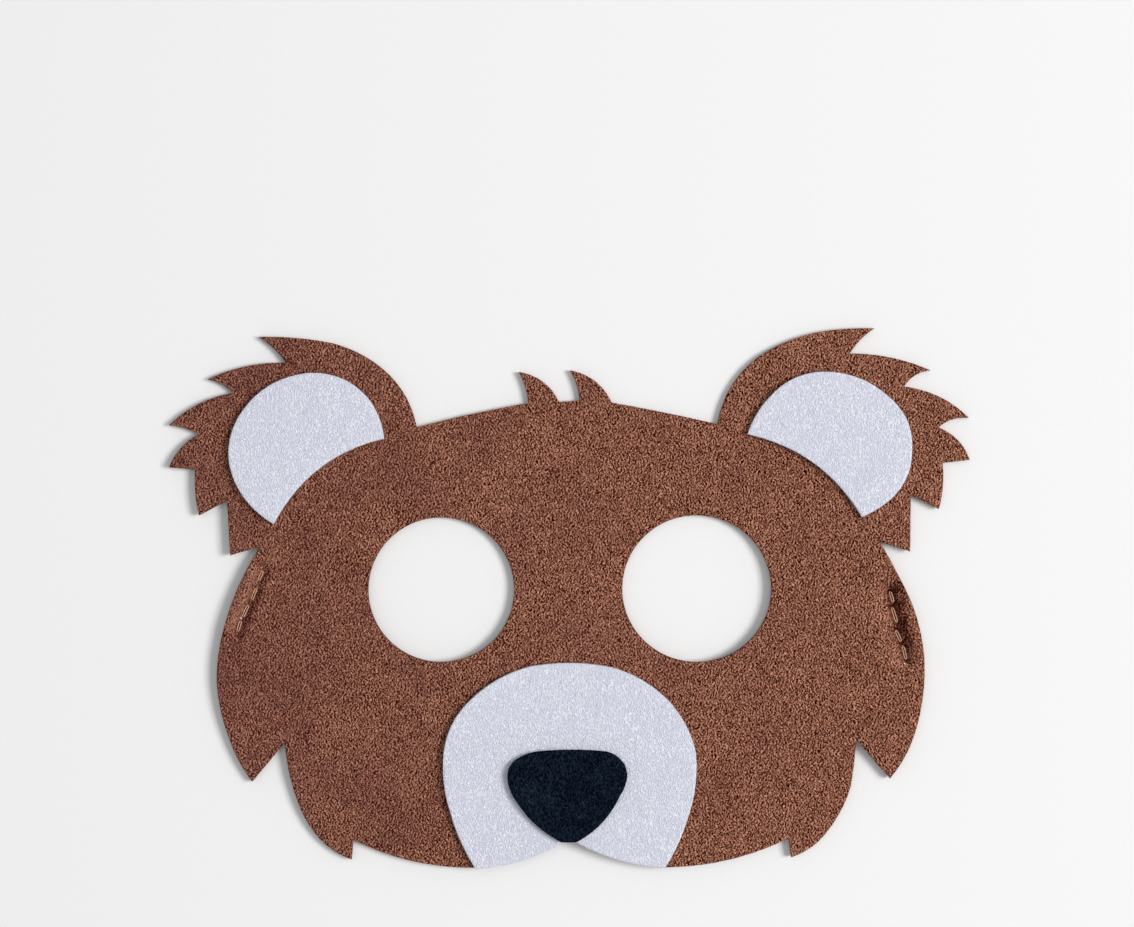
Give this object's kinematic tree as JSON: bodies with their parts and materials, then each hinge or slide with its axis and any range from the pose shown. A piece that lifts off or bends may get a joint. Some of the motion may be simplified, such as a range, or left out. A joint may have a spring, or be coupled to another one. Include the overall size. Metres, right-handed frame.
{
  "type": "felt bear mask",
  "caption": "Flat felt bear face mask for a child: die-cut face with round eye holes, tufted ears, layered muzzle and nose, and an elastic band sewn behind it.",
  "frame": {"origin": "under the middle of the mask's outline, on the surface that the mask lies on", "axes": "+X towards the viewer's right when looking at the face, +Y up the face towards the forehead, +Z out of the face; left and right in the names are the viewer's"},
  "size_m": [0.1834, 0.1234, 0.0069],
  "materials": {
    "face_felt": "matte brown felt with lighter fibres",
    "white_felt": "matte white felt",
    "nose_felt": "matte black felt",
    "elastic": "matte knitted elastic"
  },
  "bodies": {
    "root": {"face_felt": "face_felt", "inner_ear_left": "white_felt", "inner_ear_right": "white_felt", "muzzle": "white_felt", "nose": "nose_felt", "elastic_strap": "elastic"}
  },
  "joints": []
}
